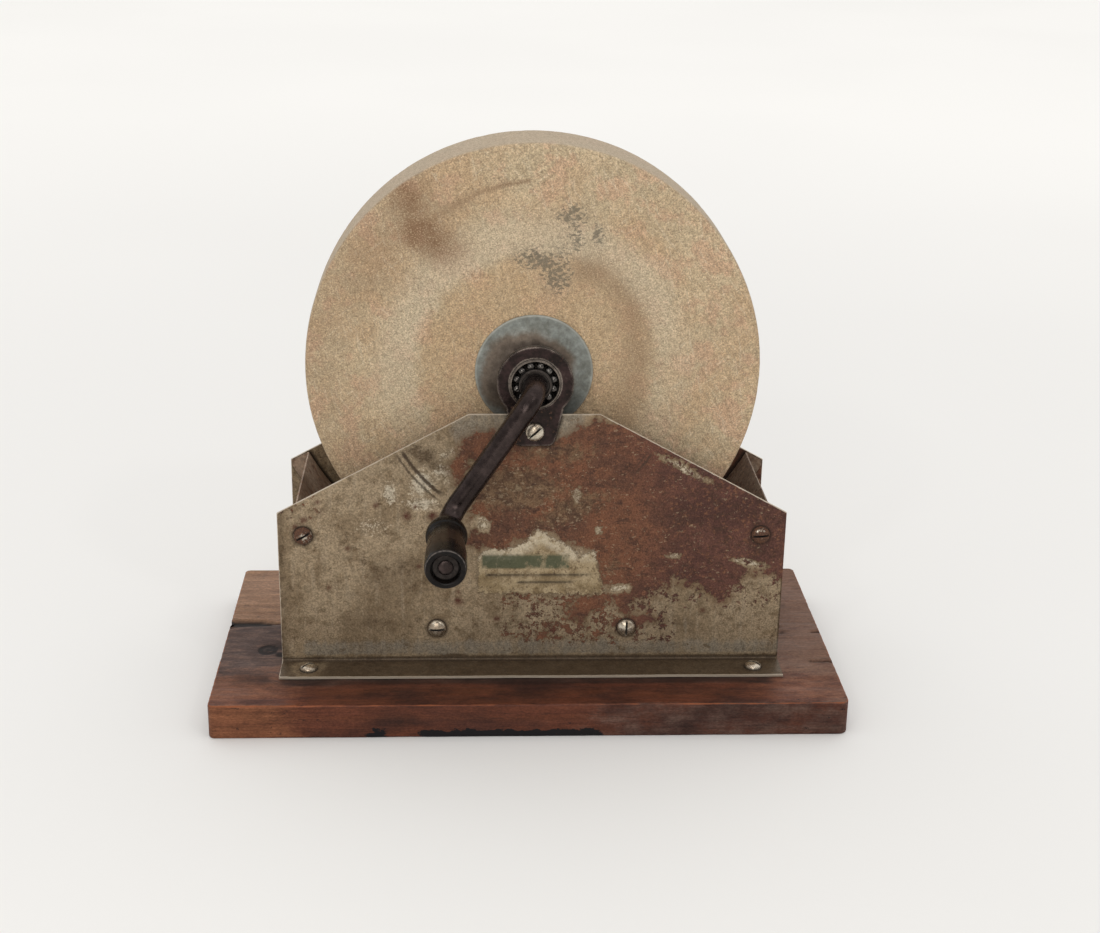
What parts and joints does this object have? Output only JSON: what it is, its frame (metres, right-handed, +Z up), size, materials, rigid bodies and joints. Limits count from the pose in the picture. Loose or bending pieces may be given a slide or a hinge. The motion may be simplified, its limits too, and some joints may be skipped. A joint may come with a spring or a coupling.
{
  "type": "hand-cranked wet grinding wheel",
  "caption": "Sandstone wheel turned by a bent-rod crank in open ball bearings, between sheet-metal side panels with a curved water trough, on a wooden board.",
  "frame": {"origin": "middle of the base board's underside", "axes": "+X to the right as seen from the crank side, along the board's length; +Y away from the crank side, along the axle; +Z up"},
  "size_m": [0.354, 0.2206, 0.3157],
  "materials": {
    "board_wood": "worn varnish over reddish-brown stain",
    "galvanised_sheet": "dull galvanised, with rust",
    "trough_sheet": "dull and rust-stained",
    "dark_steel": "worn black-brown",
    "cup_steel": "dark, oily",
    "ball_steel": "polished",
    "cone_steel": "dark, oily",
    "sandstone": "fine-grained, matt",
    "zinc_plate": "dull zinc",
    "nut_steel": "dull",
    "crank_steel": "worn black-brown",
    "disc_steel": "dark",
    "grip_black": "turned wood, black-brown enamel",
    "screw_steel": "dull, worn bright on the edges"
  },
  "bodies": {
    "frame": {"base_board": "board_wood", "front_panel": "galvanised_sheet", "rear_panel": "galvanised_sheet", "trough": "trough_sheet", "front_bracket": "dark_steel", "rear_bracket": "dark_steel", "front_bearing_cup": "cup_steel", "rear_bearing_cup": "cup_steel", "front_trough_screws": "screw_steel", "rear_trough_screws": "screw_steel", "front_trough_nuts": "nut_steel", "rear_trough_nuts": "nut_steel", "foot_screws": "screw_steel", "bracket_screws": "screw_steel", "bracket_nuts": "nut_steel"},
    "wheel": {"stone_wheel": "sandstone", "front_flange_washer": "zinc_plate", "rear_flange_washer": "zinc_plate", "front_clamp_nut": "nut_steel", "rear_clamp_nut": "nut_steel", "rear_lock_nut": "nut_steel", "crank_axle": "crank_steel", "grip_disc": "disc_steel", "front_bearing_cone": "cone_steel", "rear_bearing_cone": "cone_steel"},
    "grip": {"hand_grip": "grip_black"},
    "front_balls": {"front_bearing_balls": "ball_steel"},
    "rear_balls": {"rear_bearing_balls": "ball_steel"}
  },
  "joints": [
    {"name": "wheel_spin", "type": "hinge", "parent": "frame", "child": "wheel", "pos_m": [0.0019, 0.0043, 0.1887], "axis": [0, 1, 0], "continuous": true},
    {"name": "grip_spin", "type": "hinge", "parent": "wheel", "child": "grip", "pos_m": [-0.0462, -0.1027, 0.11644], "axis": [0, 1, 0], "continuous": true},
    {"name": "front_balls_roll", "type": "hinge", "parent": "frame", "child": "front_balls", "pos_m": [0.0019, -0.0418, 0.1887], "axis": [0, 1, 0], "continuous": true},
    {"name": "rear_balls_roll", "type": "hinge", "parent": "frame", "child": "rear_balls", "pos_m": [0.0019, 0.0504, 0.1887], "axis": [0, 1, 0], "continuous": true}
  ],
  "couplings": [
    {"joint": "front_balls_roll", "follows": "wheel_spin", "ratio": 0.418},
    {"joint": "rear_balls_roll", "follows": "wheel_spin", "ratio": 0.418}
  ]
}
